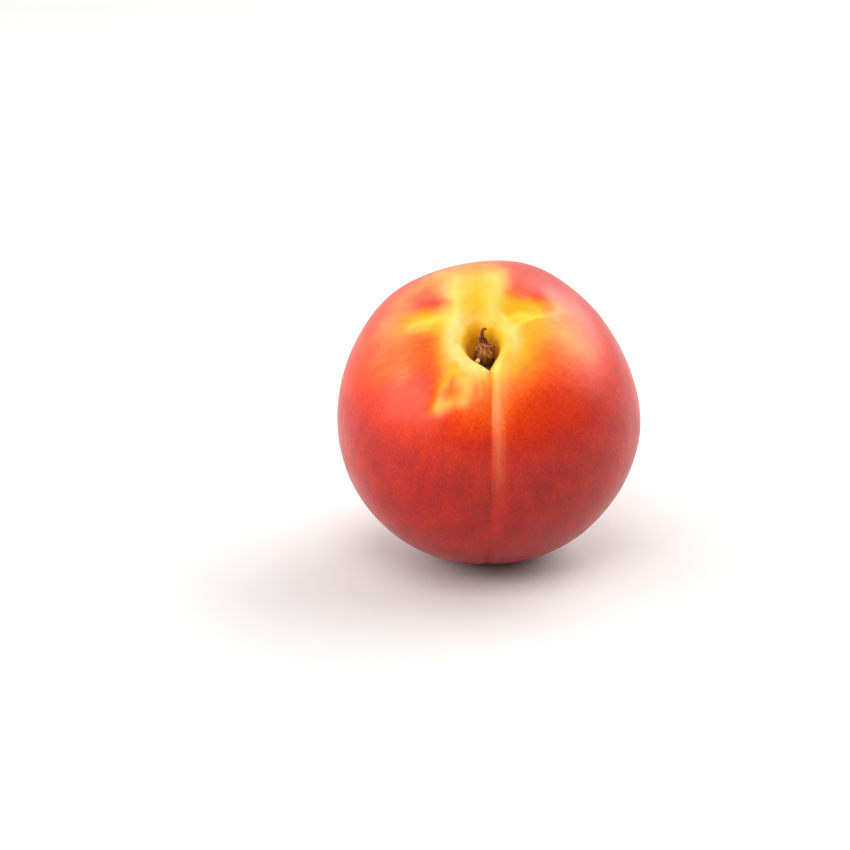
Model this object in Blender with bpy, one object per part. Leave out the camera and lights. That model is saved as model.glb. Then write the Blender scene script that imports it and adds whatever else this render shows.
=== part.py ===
"""A whole ripe nectarine leaning on its side, with the dried stem stub left in the stem cavity.

Two bodies: the fruit, one closed solid with the cavity, the suture and the hollows round the
cavity pressed into its skin, and the woody stub standing a hair above the cavity floor.
Shapes are worked out in millimetres about the stem axis (+Z out of the cavity, the suture on
the -Y side), then leaned over, stood on the flat spot and turned into metres.
"""

import math

import bmesh
import bpy
from mathutils import Matrix, Vector

MM = 0.001

# ---- the fruit as grown, stem axis upright
HALF_WIDTH = 34.0
HALF_HEIGHT = 33.6
LEAN = math.radians(39.0)
REST_CUT = 0.45
REST_SNAP = 0.02
FRUIT_COLUMNS = 64
FRUIT_RINGS = 54
COLUMN_CROWDING = 0.55
RING_CROWDING = 0.55

# Cheeks and flats: direction from the centre, height, spread in degrees.
SWELLS = (
    ((0.866, 0.437, 0.242), -0.75, 26.0),
    ((0.259, 0.845, 0.468), 0.80, 17.0),
    ((0.985, -0.152, -0.084), 0.50, 20.0),
    ((-0.966, 0.226, 0.126), -0.45, 22.0),
    ((-0.643, 0.670, 0.371), 0.40, 14.0),
    ((-0.550, -0.750, -0.200), 0.50, 32.0),
    ((0.600, -0.720, -0.250), 0.35, 30.0),
)

# ---- the stem cavity
CAVITY_PULL = 12.0
CAVITY_FLOOR = 6.4
CAVITY_RADIUS = 2.66
CAVITY_SHARPNESS = 4.4
CAVITY_REAR_SOFTNESS = 1.9
CAVITY_FLOOR_SHIFT = 1.1
CAVITY_RIM_SHIFT = 0.8
SHOULDER_DIP = 1.6
SHOULDER_RADIUS = 12.0
CUSP_TURN = math.radians(-74.0)
CUSP_REACH = 0.64
CUSP_SPREAD = 0.38
CUSP_SHARPNESS = 4.2
FRONT_REACH = 0.22

# ---- the suture, a step running from the cavity to the tip
SUTURE_TURN = math.radians(-90.0)
SUTURE_OFFSET = 0.10
SUTURE_GROOVE = 1.20
SUTURE_VALLEY = 0.85
SUTURE_FADE = 0.65
TIP_DIMPLE = 1.1

# ---- hollows and ridges round the cavity, as seen along the stem axis:
# start, end, spread to the left and to the right, depth, how gently the ends fade
STROKES = (
    ((-2.6, 7.0), (-3.0, 22.0), 1.9, 1.8, 0.60, 4.0),
    ((-7.6, 6.5), (-7.8, 16.0), 2.5, 2.1, -0.22, 4.0),
    ((0.8, 8.5), (1.6, 17.0), 2.0, 2.2, -0.22, 4.0),
    ((4.6, 8.7), (11.6, 10.2), 3.0, 1.5, 1.10, 1.6),
    ((5.4, 3.4), (13.4, 7.6), 0.8, 1.5, -0.40, 2.6),
    ((-9.4, 7.7), (-18.0, 6.4), 2.4, 1.3, 0.70, 1.8),
    ((-8.0, -5.8), (-12.3, -14.4), 1.1, 1.1, 0.30, 1.1),
    ((-5.6, -8.8), (-5.7, -13.0), 1.5, 1.5, 0.22, 1.5),
)

# ---- the stem stub
STUB_GAP = 0.3
STUB_LENGTH = 6.2
STUB_COLUMNS = 24
STUB_RINGS = 26
STUB_SEAT = Vector((-1.48, -1.05))
STUB_FOOT = 1.8
SEAT_PROBES = 24
STUB_RIDGES = 7
STUB_RIDGE_DEPTH = 0.09
STUB_TWIST = 0.35
# Height along the stub and its radius there: a crumpled head, then the thin hooked end.
STUB_PROFILE = (
    (0.0, 1.70),
    (1.0, STUB_FOOT),
    (2.2, 2.05),
    (3.0, 2.15),
    (3.7, 1.85),
    (4.3, 1.30),
    (4.8, 0.80),
    (5.3, 0.42),
    (5.9, 0.30),
    (6.2, 0.08),
)
# Height along the stub and where its middle is there, across and back.
STUB_SWAY = (
    (0.0, 0.00, 0.00),
    (3.0, 0.30, 0.75),
    (4.6, -0.15, 2.10),
    (5.5, -0.25, 3.70),
    (6.2, 0.60, 4.30),
)


def clear_scene():
    """Remove every object already in the file."""
    for item in list(bpy.data.objects):
        bpy.data.objects.remove(item)


def ease(low, high, value):
    """Smooth step from 0 at low to 1 at high."""
    step = (value - low) / (high - low)
    step = max(0.0, min(1.0, step))
    return step * step * (3.0 - 2.0 * step)


def turn_between(angle, other):
    """Signed turn from one azimuth to another, within half a circle."""
    return (angle - other + math.pi) % (2.0 * math.pi) - math.pi


def bell(value, spread):
    """A bell curve, 1 at zero."""
    return math.exp(-(value / spread) ** 2)


def swell_height(direction):
    """How far the cheeks and flats stand off the plain ball in one direction."""
    total = 0.0
    for toward, height, spread in SWELLS:
        apart = math.degrees(direction.angle(Vector(toward)))
        total += height * bell(apart, spread)
    return total


def cavity_reach(across, back):
    """Depth that the cavity would have without its floor: cusped in front, sloping behind."""
    reach = math.hypot(across, back)
    if reach < 1e-6:
        return CAVITY_PULL
    front = ease(0.0, 1.0, -back / reach)
    rear = ease(0.0, 1.0, back / reach)
    off_cusp = abs(turn_between(math.atan2(back, across), CUSP_TURN))
    cusp = CUSP_REACH * math.exp(-off_cusp / CUSP_SPREAD) + FRONT_REACH
    wall = CAVITY_RADIUS * (1.0 + cusp * front)
    sharpness = CAVITY_SHARPNESS + CUSP_SHARPNESS * front - CAVITY_REAR_SOFTNESS * rear
    return CAVITY_PULL / (1.0 + (reach / wall) ** sharpness)


def cavity_drop(x, y):
    """How far the stem cavity and its shoulder lie below the plain ball."""
    out = math.hypot(x, y)
    across = x + CAVITY_FLOOR_SHIFT + CAVITY_RIM_SHIFT * ease(1.5, 5.0, out)
    pull = cavity_reach(across, y)
    drop = pull / (1.0 + (pull / CAVITY_FLOOR) ** 6) ** (1.0 / 6.0)
    return drop + SHOULDER_DIP * bell(out, SHOULDER_RADIUS)


def suture_depth(polar, x):
    """Depth of the suture: a crisp fall on one flank, a wider rise on the other."""
    along = 0.35 * bell(polar - 0.22, 0.20) + 0.60 * ease(0.05, 0.25, polar)
    along *= 1.0 - SUTURE_FADE * ease(1.0, 2.2, polar)
    along += 0.25 * bell(polar - 2.8, 0.30)
    along *= 1.0 - ease(math.pi - 0.35, math.pi, polar)
    side = x - SUTURE_OFFSET
    if side < 0.0:
        groove = math.exp(-((-side / 0.75) ** 1.3))
        valley = bell(side, 4.5)
    else:
        groove = math.exp(-((side / 1.55) ** 1.25))
        valley = groove
    return along * (SUTURE_GROOVE * groove + SUTURE_VALLEY * valley)


def stroke_depth(x, y):
    """Depth of the hollows round the cavity at a point, less the height of the ridges."""
    total = 0.0
    for start, end, left, right, depth, fade in STROKES:
        run = Vector(end) - Vector(start)
        off = Vector((x, y)) - Vector(start)
        along = off.dot(run) / run.length
        side = run.cross(off) / run.length
        beyond = max(0.0, -along, along - run.length)
        total += depth * bell(side, left if side > 0.0 else right) * bell(beyond, fade)
    return total


def skin_point(polar, azimuth):
    """A point on the skin, millimetres, stem axis upright."""
    across = math.sin(polar)
    way = Vector((across * math.cos(azimuth), across * math.sin(azimuth), math.cos(polar)))
    swell = swell_height(way)
    reach = Vector((HALF_WIDTH + swell, HALF_WIDTH + swell, HALF_HEIGHT + swell))
    spot = way * reach
    if spot.y < 0.0:
        spot = spot - way * suture_depth(polar, spot.x)
    if polar < math.radians(90.0):
        spot = spot - way * stroke_depth(spot.x, spot.y)
        fade = 1.0 - ease(math.radians(60.0), math.radians(88.0), polar)
        spot.z -= cavity_drop(spot.x, spot.y) * fade
    spot = spot - way * TIP_DIMPLE * bell(math.pi - polar, 0.16)
    return spot


def crowd_rings(polar):
    """Draw the rings together toward the stem end."""
    return polar * (1.0 - RING_CROWDING) + RING_CROWDING * polar * polar / math.pi


def crowd_columns(azimuth):
    """Draw the columns together toward the suture."""
    off = turn_between(azimuth, SUTURE_TURN)
    return SUTURE_TURN + off - COLUMN_CROWDING * math.sin(off)


def shape_skin(mesh):
    """Move the points of a unit ball onto the fruit's skin."""
    for point in mesh.verts:
        polar = math.acos(max(-1.0, min(1.0, point.co.z)))
        azimuth = math.atan2(point.co.y, point.co.x)
        point.co = skin_point(crowd_rings(polar), crowd_columns(azimuth))


def cut_rest_flat(mesh):
    """Cut the small flat the leaning fruit stands on; gives back its distance below the centre."""
    down = Vector((0.0, -math.sin(LEAN), -math.cos(LEAN)))
    level = max(point.co.dot(down) for point in mesh.verts) - REST_CUT
    bmesh.ops.bisect_plane(
        mesh,
        geom=mesh.verts[:] + mesh.edges[:] + mesh.faces[:],
        dist=REST_SNAP,
        plane_co=down * level,
        plane_no=down,
        clear_outer=True,
    )
    rim = [edge for edge in mesh.edges if edge.is_boundary]
    corners = {point for edge in rim for point in edge.verts}
    for point in corners:
        point.co += down * (level - point.co.dot(down))
    bmesh.ops.edgeloop_fill(mesh, edges=rim)
    return level


def finish_mesh(mesh, name):
    """Turn a bmesh in millimetres into a smooth-shaded mesh in metres."""
    bmesh.ops.triangulate(mesh, faces=mesh.faces[:])
    bmesh.ops.recalc_face_normals(mesh, faces=mesh.faces[:])
    bmesh.ops.scale(mesh, vec=(MM, MM, MM), verts=mesh.verts[:])
    data = bpy.data.meshes.new(name)
    mesh.to_mesh(data)
    mesh.free()
    data.shade_smooth()
    return data


def add_body(name, data, material):
    """Put one finished mesh in the scene under its own name."""
    data.materials.append(material)
    body = bpy.data.objects.new(name, data)
    bpy.context.scene.collection.objects.link(body)
    return body


def plain_material(name, color, roughness, coat=0.0):
    """A Principled material with one colour."""
    material = bpy.data.materials.new(name)
    material.use_nodes = True
    shader = material.node_tree.nodes["Principled BSDF"]
    shader.inputs["Base Color"].default_value = color
    shader.inputs["Roughness"].default_value = roughness
    shader.inputs["Coat Weight"].default_value = coat
    return material


def skin_material():
    """Ripe skin: a waxy satin over orange flushed with red."""
    return plain_material("nectarine_skin", (0.72, 0.12, 0.03, 1.0), 0.40, 0.1)


def stub_material():
    """Dried stalk: dull brown bark."""
    return plain_material("dried_stalk", (0.20, 0.12, 0.06, 1.0), 0.75)


def stand_up(fruit, level):
    """Lean the fruit over and stand it on its flat, centred on the origin from above."""
    lean = Matrix.Rotation(LEAN, 3, "X")
    corners = [lean @ point.co for point in fruit.data.vertices]
    xs = [corner.x for corner in corners]
    ys = [corner.y for corner in corners]
    fruit.rotation_euler = (LEAN, 0.0, 0.0)
    fruit.location.x = -(min(xs) + max(xs)) / 2.0
    fruit.location.y = -(min(ys) + max(ys)) / 2.0
    fruit.location.z = level * MM


def build_fruit():
    """The fruit, leaned over and stood on its flat."""
    mesh = bmesh.new()
    bmesh.ops.create_uvsphere(
        mesh, u_segments=FRUIT_COLUMNS, v_segments=FRUIT_RINGS, radius=1.0
    )
    shape_skin(mesh)
    level = cut_rest_flat(mesh)
    data = finish_mesh(mesh, "nectarine_fruit")
    fruit = add_body("nectarine_fruit", data, skin_material())
    stand_up(fruit, level)
    return fruit


def stub_radius(height):
    """Radius of the stub at a height, read off its profile."""
    for (low, low_radius), (high, high_radius) in zip(STUB_PROFILE, STUB_PROFILE[1:]):
        if height <= high:
            step = (height - low) / (high - low)
            return low_radius + (high_radius - low_radius) * step
    return STUB_PROFILE[-1][1]


def stub_middle(height):
    """Where the middle of the stub is at a height, across and back."""
    for (low, low_x, low_y), (high, high_x, high_y) in zip(STUB_SWAY, STUB_SWAY[1:]):
        if height <= high:
            step = ease(low, high, height)
            return low_x + (high_x - low_x) * step, low_y + (high_y - low_y) * step
    return STUB_SWAY[-1][1:]


def seat_height():
    """Height of the stub's underside: a clear gap above the highest floor below it."""
    highest = 0.0
    for step in range(SEAT_PROBES):
        around = 2.0 * math.pi * step / SEAT_PROBES
        x = STUB_SEAT.x + STUB_FOOT * math.cos(around)
        y = STUB_SEAT.y + STUB_FOOT * math.sin(around)
        polar = math.atan2(math.hypot(x, y), HALF_HEIGHT)
        highest = max(highest, skin_point(polar, math.atan2(y, x)).z)
    return highest + STUB_GAP


def stub_point(way):
    """A point of the stub about its seat, from the matching point of a unit ball."""
    polar = math.acos(max(-1.0, min(1.0, way.z)))
    azimuth = math.atan2(way.y, way.x)
    climb = 1.0 - polar / math.pi
    height = STUB_LENGTH * (climb + ease(0.0, 1.0, climb)) / 2.0
    at_pole = abs(way.z) > 1.0 - 1e-6
    radius = 0.0 if at_pole else stub_radius(height)
    radius *= 1.0 + STUB_RIDGE_DEPTH * math.cos(STUB_RIDGES * azimuth + STUB_TWIST * height)
    middle_x, middle_y = stub_middle(height)
    x = radius * math.cos(azimuth) + middle_x
    y = radius * math.sin(azimuth) + middle_y
    return Vector((x, y, height))


def build_stub(fruit):
    """The dried stem stub, flat underneath, with a thick head and a thin hooked end."""
    mesh = bmesh.new()
    bmesh.ops.create_uvsphere(
        mesh, u_segments=STUB_COLUMNS, v_segments=STUB_RINGS, radius=1.0
    )
    for point in mesh.verts:
        point.co = stub_point(point.co)
    data = finish_mesh(mesh, "stem_stub")
    stub = add_body("stem_stub", data, stub_material())
    stub.parent = fruit
    stub.location = Vector((STUB_SEAT.x, STUB_SEAT.y, seat_height())) * MM


def main():
    """Build the two bodies."""
    clear_scene()
    fruit = build_fruit()
    build_stub(fruit)


main()
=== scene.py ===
"""The looks of a whole ripe nectarine with the dried stub of its stalk.

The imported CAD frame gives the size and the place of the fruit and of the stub. Each is modelled
again finely about the stem axis, in millimetres with +Z out of the stem cavity and the suture
on the -Y side, then leaned over, fitted to its CAD solid and given its finish.
"""

import logging
import math
from dataclasses import dataclass, field
from enum import Enum
from typing import Any, Optional, Union

import bmesh
import bpy
from mathutils import Matrix, Vector, noise


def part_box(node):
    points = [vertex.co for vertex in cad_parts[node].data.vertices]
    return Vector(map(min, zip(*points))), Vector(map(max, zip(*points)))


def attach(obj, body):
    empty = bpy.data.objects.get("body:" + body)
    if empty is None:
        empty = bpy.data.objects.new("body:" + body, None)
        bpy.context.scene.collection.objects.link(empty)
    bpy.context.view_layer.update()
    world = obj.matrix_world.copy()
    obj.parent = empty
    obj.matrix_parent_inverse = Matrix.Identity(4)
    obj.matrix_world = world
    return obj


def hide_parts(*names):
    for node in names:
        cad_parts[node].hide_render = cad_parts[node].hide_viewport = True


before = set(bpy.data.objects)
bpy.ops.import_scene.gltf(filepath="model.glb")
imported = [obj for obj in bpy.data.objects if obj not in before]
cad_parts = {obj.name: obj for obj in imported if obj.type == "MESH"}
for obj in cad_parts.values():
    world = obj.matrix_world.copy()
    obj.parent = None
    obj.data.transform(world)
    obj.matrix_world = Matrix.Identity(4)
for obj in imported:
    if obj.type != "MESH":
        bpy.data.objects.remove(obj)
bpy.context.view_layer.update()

MM = 0.001
TINY = 1e-6
POLE_SNAP = 1e-9
BODY = "root"
log = logging.getLogger("nectarine")

Color = tuple[float, float, float, float]
Feed = Union[bpy.types.Node, bpy.types.NodeSocket]
# what a tint follows, the values between which it comes on, how much of it there is, and its hex
Layer = tuple[Feed, float, float, float, str]


# ---------------------------------------------------------------- small tools


def linear(hex_color: str, alpha: float = 1.0) -> Color:
    """Turn an sRGB hex colour into linear light.

    Args:
        hex_color: Six hex digits, such as "F9C528".
        alpha: Opacity of the colour.

    Returns:
        Red, green, blue and alpha, as Blender's sockets take them.
    """
    channels = []
    for start in (0, 2, 4):
        value = int(hex_color[start : start + 2], 16) / 255.0
        low = value <= 0.04045
        channels.append(value / 12.92 if low else ((value + 0.055) / 1.055) ** 2.4)
    return channels[0], channels[1], channels[2], alpha


def per_size(millimetres: float) -> float:
    """Scale of a texture whose features are this many millimetres apart."""
    return 1.0 / (millimetres * MM)


def ease(low: float, high: float, value: float) -> float:
    """Smooth step from 0 at low to 1 at high."""
    step = max(0.0, min(1.0, (value - low) / (high - low)))
    return step * step * (3.0 - 2.0 * step)


def bell(value: float, spread: float) -> float:
    """A bell curve, 1 at zero."""
    return math.exp(-((value / spread) ** 2))


def turn_between(angle: float, other: float, whole: float = 2.0 * math.pi) -> float:
    """Signed turn from one azimuth to another, within half of a whole turn."""
    return (angle - other + whole / 2.0) % whole - whole / 2.0


def polar_of(place: Vector) -> float:
    """Angle of a point of the unit ball from its +Z pole, radians."""
    return math.acos(max(-1.0, min(1.0, place.z)))


class Mark(Enum):
    """What each point of a mesh says about itself, for its finish to read."""

    FLUSH = "flush"
    PAINTED_HIGHLIGHT = "pale"
    WALL = "wall"
    TIP = "tip"
    HEIGHT = "height"
    FOLD_SHADE = "fold"
    PAINTED_GLINT = "pith"
    MERIDIAN = "meridian"


FRUIT_MARKS = (Mark.FLUSH, Mark.PAINTED_HIGHLIGHT, Mark.WALL, Mark.TIP)


@dataclass
class NodeBoard:
    """A node tree with one way to add to it.

    Attributes:
        tree: The tree that the nodes go in.
    """

    tree: bpy.types.NodeTree

    def add(
        self,
        kind: str,
        setup: Optional[dict[Union[str, int], Any]] = None,
        feed: Optional[dict[Union[str, int], Feed]] = None,
    ) -> bpy.types.Node:
        """Add a node with its settings and links.

        Args:
            kind: Blender's name of the node type, without "ShaderNode".
            setup: Node properties and input values by name; "stops" fills a colour ramp.
            feed: Sockets, or nodes whose first output in use is meant, by input name.

        Returns:
            The new node.
        """
        node = self.tree.nodes.new("ShaderNode" + kind)
        for name, value in (setup or {}).items():
            if name == "stops":
                ramp = node.color_ramp.elements
                while len(ramp) < len(value):
                    ramp.new(1.0)
                for stop, (place, color) in zip(ramp, value):
                    stop.position = place
                    stop.color = color
            elif isinstance(name, str) and hasattr(node, name):
                setattr(node, name, value)
            else:
                self.socket(node.inputs, name).default_value = value
        for name, source in (feed or {}).items():
            if isinstance(source, bpy.types.Node):
                source = next(out for out in source.outputs if out.enabled)
            self.tree.links.new(source, self.socket(node.inputs, name))
        return node

    def lay_over(self, color: Feed, layers: tuple[Layer, ...]) -> Feed:
        """Lay tints over a colour, one after another.

        Args:
            color: The colour underneath.
            layers: The tints, lowest first.

        Returns:
            The colour with every tint laid over it.
        """
        for share, start, end, most, tint in layers:
            cover = self.add(
                "MapRange", {"From Min": start, "From Max": end, "To Max": most}, {"Value": share}
            )
            tinted = {"data_type": "RGBA", "B": linear(tint)}
            color = self.add("Mix", tinted, {"Factor": cover, "A": color})
        return color

    @staticmethod
    def socket(sockets: Any, name: Union[str, int]) -> bpy.types.NodeSocket:
        """Find a socket in use by name, or any socket by number."""
        if isinstance(name, int):
            return sockets[name]
        return next(each for each in sockets if each.name == name and each.enabled)


def fresh_material(name: str) -> tuple[bpy.types.Material, NodeBoard]:
    """Make a material whose tree holds only its output.

    Args:
        name: Name of the material.

    Returns:
        The material and the board to build it on.
    """
    material = bpy.data.materials.new(name)
    material.use_nodes = True
    material.node_tree.nodes.clear()
    return material, NodeBoard(material.node_tree)


# ---------------------------------------------------------------- the finishes


@dataclass(frozen=True)
class RipeSkin:
    """Nectarine skin: hairless cuticle under a thin wax bloom, grown, never polished.

    The wax gives a soft satin gloss with wide blurred highlights. The colour lies in the cells
    below it: yellow ground showing round the stem, flushed orange, red and crimson by the sun
    in fine strokes that run from the stem to the tip, with tiny pale pores.
    """

    name: str = "waxy nectarine skin"
    flush_stops: tuple[tuple[float, str], ...] = (
        (0.00, "FBBC12"), (0.16, "FBAA1A"), (0.32, "F88C18"), (0.48, "F46C16"),
        (0.60, "E84A10"), (0.74, "D03410"), (0.87, "B42216"), (1.00, "8E161A"),
    )
    # painted highlight: the cream laid where the lights catch the lips, the suture's flank and a few
    # ridges
    painted_highlight_color: str = "FBDD92"
    # the cavity wall's yellow ground, laid brighter as painted bounce light inside the cavity
    wall_ground_and_bounce_color: str = "FFCE36"
    # painted shade: the deeper orange brown that darkens the cavity toward its floor
    floor_color: str = "D88A1C"
    # dark brown of the scars at the two ends; round the stalk's foot it is also painted shade
    scar_and_shade_color: str = "50301A"
    pore_color: str = "F2A86A"
    roughness: float = 0.35
    roughness_play: float = 0.08
    rubbed_mm: float = 6.0
    wax_ior: float = 1.43
    bloom_sheen: float = 0.07
    bloom_roughness: float = 0.5
    flesh_glow: float = 0.70
    glow_reach: tuple[float, float, float] = (0.0090, 0.0030, 0.0008)
    cloud_mm: float = 5.0
    cloud_play: float = 0.09
    stroke_play: float = 0.09
    mottle_mm: float = 0.60
    mottle_play: float = 0.15
    fleck_mm: float = 1.3
    fleck_low: float = 0.78
    fleck_high: float = 1.18
    pore_spacing_mm: float = 1.9
    pore_radius_share: float = 0.11
    pore_core_share: float = 0.4
    pore_cover: float = 0.14
    pore_flush_from: float = 0.4
    pore_flush_to: float = 0.8
    dimple_mm: float = 2.6
    dimple_depth_mm: float = 0.07
    grain_mm: float = 0.32
    grain_depth_mm: float = 0.016

    def build(self) -> bpy.types.Material:
        """Build the skin material."""
        material, board = fresh_material(self.name)
        place = board.add("TexCoord").outputs["Object"]
        flush = self.flush_share(board, place)
        stops = [(share, linear(color)) for share, color in self.flush_stops]
        color = board.add("ValToRGB", {"stops": stops}, {"Fac": flush})
        color = self.pored(board, place, self.stem_end(board, place, color), flush)
        shader = board.add(
            "BsdfPrincipled",
            {
                "IOR": self.wax_ior,
                "Subsurface Weight": self.flesh_glow,
                "Subsurface Radius": self.glow_reach,
                "Subsurface Scale": 1.0,
                "Sheen Weight": self.bloom_sheen,
                "Sheen Roughness": self.bloom_roughness,
            },
            {
                "Base Color": color,
                "Roughness": self.gloss(board, place),
                "Normal": self.relief(board, place),
            },
        )
        board.add("OutputMaterial", {}, {"Surface": shader})
        return material

    def flush_share(self, board: NodeBoard, place: bpy.types.NodeSocket) -> bpy.types.Node:
        """How far the sun's flush has gone, broken up into clouds, strokes and mottle.

        Args:
            board: The board of the skin material.
            place: The socket with the place on the fruit.

        Returns:
            A node that gives 0 for yellow ground and 1 for deep crimson.
        """
        total = board.add("Attribute", {"attribute_name": Mark.FLUSH.value}).outputs["Fac"]
        meridian = board.add("Attribute", {"attribute_name": Mark.MERIDIAN.value})
        # where each is read, its scale, detail and roughness, and how far it shifts the flush
        breaks = (
            (place, per_size(self.cloud_mm), 3.0, 0.55, self.cloud_play),
            (meridian.outputs["Vector"], 1.0, 4.0, 0.62, self.stroke_play),
            (place, per_size(self.mottle_mm), 2.0, 0.60, self.mottle_play),
        )
        for where, scale, detail, roughness, play in breaks:
            cells = board.add(
                "TexNoise",
                {"Scale": scale, "Detail": detail, "Roughness": roughness},
                {"Vector": where},
            )
            shift = board.add(
                "MapRange",
                {"From Min": 0.25, "From Max": 0.75, "To Min": -play / 2, "To Max": play / 2},
                {"Value": cells},
            )
            total = board.add("Math", {"operation": "ADD"}, {0: total, 1: shift})
        return board.add("Clamp", {}, {"Value": total})

    def stem_end(self, board: NodeBoard, place: bpy.types.NodeSocket, skin: Feed) -> Feed:
        """Painted highlight, flecked, on the lips; the cavity wall's yellow ground, brightened as
        painted bounce light; painted shade on the cavity floor; and the scars at the two ends, with
        painted shade round the stalk's foot.

        Args:
            board: The board of the skin material.
            place: The socket with the place on the fruit.
            skin: The skin's own colour.

        Returns:
            The colour with the stem end laid over it.
        """
        pale, wall, tip = (
            board.add("Attribute", {"attribute_name": mark.value}).outputs["Fac"]
            for mark in (Mark.PAINTED_HIGHLIGHT, Mark.WALL, Mark.TIP)
        )
        flecks = board.add(
            "TexNoise",
            {"Scale": per_size(self.fleck_mm), "Detail": 3.0, "Roughness": 0.6},
            {"Vector": place},
        )
        strength = board.add(
            "MapRange",
            {"From Min": 0.3, "From Max": 0.7, "To Min": self.fleck_low, "To Max": self.fleck_high},
            {"Value": flecks},
        )
        # the pale mark is painted highlight, broken up by the flecks
        flecked_highlight = board.add("Math", {"operation": "MULTIPLY"}, {0: pale, 1: strength})
        layers = (
            # painted highlight on the lips
            (flecked_highlight, 0.0, 1.0, 1.0, self.painted_highlight_color),
            # the cavity wall's yellow ground, brightened as painted bounce light
            (wall, 0.10, 0.50, 0.95, self.wall_ground_and_bounce_color),
            # painted shade deep in the cavity
            (wall, 0.86, 0.98, 0.60, self.floor_color),
            # the scar round the stalk's foot, also painted shade between stalk and fruit
            (wall, 0.975, 0.995, 0.85, self.scar_and_shade_color),
            (tip, 0.35, 0.85, 1.0, self.scar_and_shade_color),
        )
        return board.lay_over(skin, layers)

    def pored(
        self, board: NodeBoard, place: bpy.types.NodeSocket, skin: Feed, flush: bpy.types.Node
    ) -> Feed:
        """Tiny pale pores, plainest where the flush is deep.

        Args:
            board: The board of the skin material.
            place: The socket with the place on the fruit.
            skin: The colour to lay them on.
            flush: The share of flush.

        Returns:
            The finished colour.
        """
        cells = board.add(
            "TexVoronoi",
            {"Scale": per_size(self.pore_spacing_mm), "Randomness": 1.0},
            {"Vector": place},
        )
        pore = board.add(
            "MapRange",
            {
                "From Min": self.pore_radius_share,
                "From Max": self.pore_radius_share * self.pore_core_share,
                "To Max": self.pore_cover,
            },
            {"Value": cells.outputs["Distance"]},
        )
        shown = board.add(
            "MapRange",
            {"From Min": self.pore_flush_from, "From Max": self.pore_flush_to},
            {"Value": flush},
        )
        cover = board.add("Math", {"operation": "MULTIPLY"}, {0: pore, 1: shown})
        return board.lay_over(skin, ((cover, 0.0, 1.0, 1.0, self.pore_color),))

    def gloss(self, board: NodeBoard, place: bpy.types.NodeSocket) -> bpy.types.Node:
        """Roughness of the wax, rubbed a little smoother in places."""
        rubbed = board.add(
            "TexNoise", {"Scale": per_size(self.rubbed_mm), "Detail": 4.0}, {"Vector": place}
        )
        half = self.roughness_play / 2
        return board.add(
            "MapRange",
            {
                "From Min": 0.3,
                "From Max": 0.7,
                "To Min": self.roughness - half,
                "To Max": self.roughness + half,
            },
            {"Value": rubbed},
        )

    def relief(self, board: NodeBoard, place: bpy.types.NodeSocket) -> bpy.types.Node:
        """Fine grain of the cuticle over shallow dimples."""
        feed: dict[Union[str, int], Feed] = {}
        for size, depth in (
            (self.dimple_mm, self.dimple_depth_mm),
            (self.grain_mm, self.grain_depth_mm),
        ):
            feed["Height"] = board.add(
                "TexNoise", {"Scale": per_size(size), "Detail": 2.0}, {"Vector": place}
            )
            feed["Normal"] = board.add("Bump", {"Strength": 1.0, "Distance": depth * MM}, feed)
        return feed["Normal"]


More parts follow.
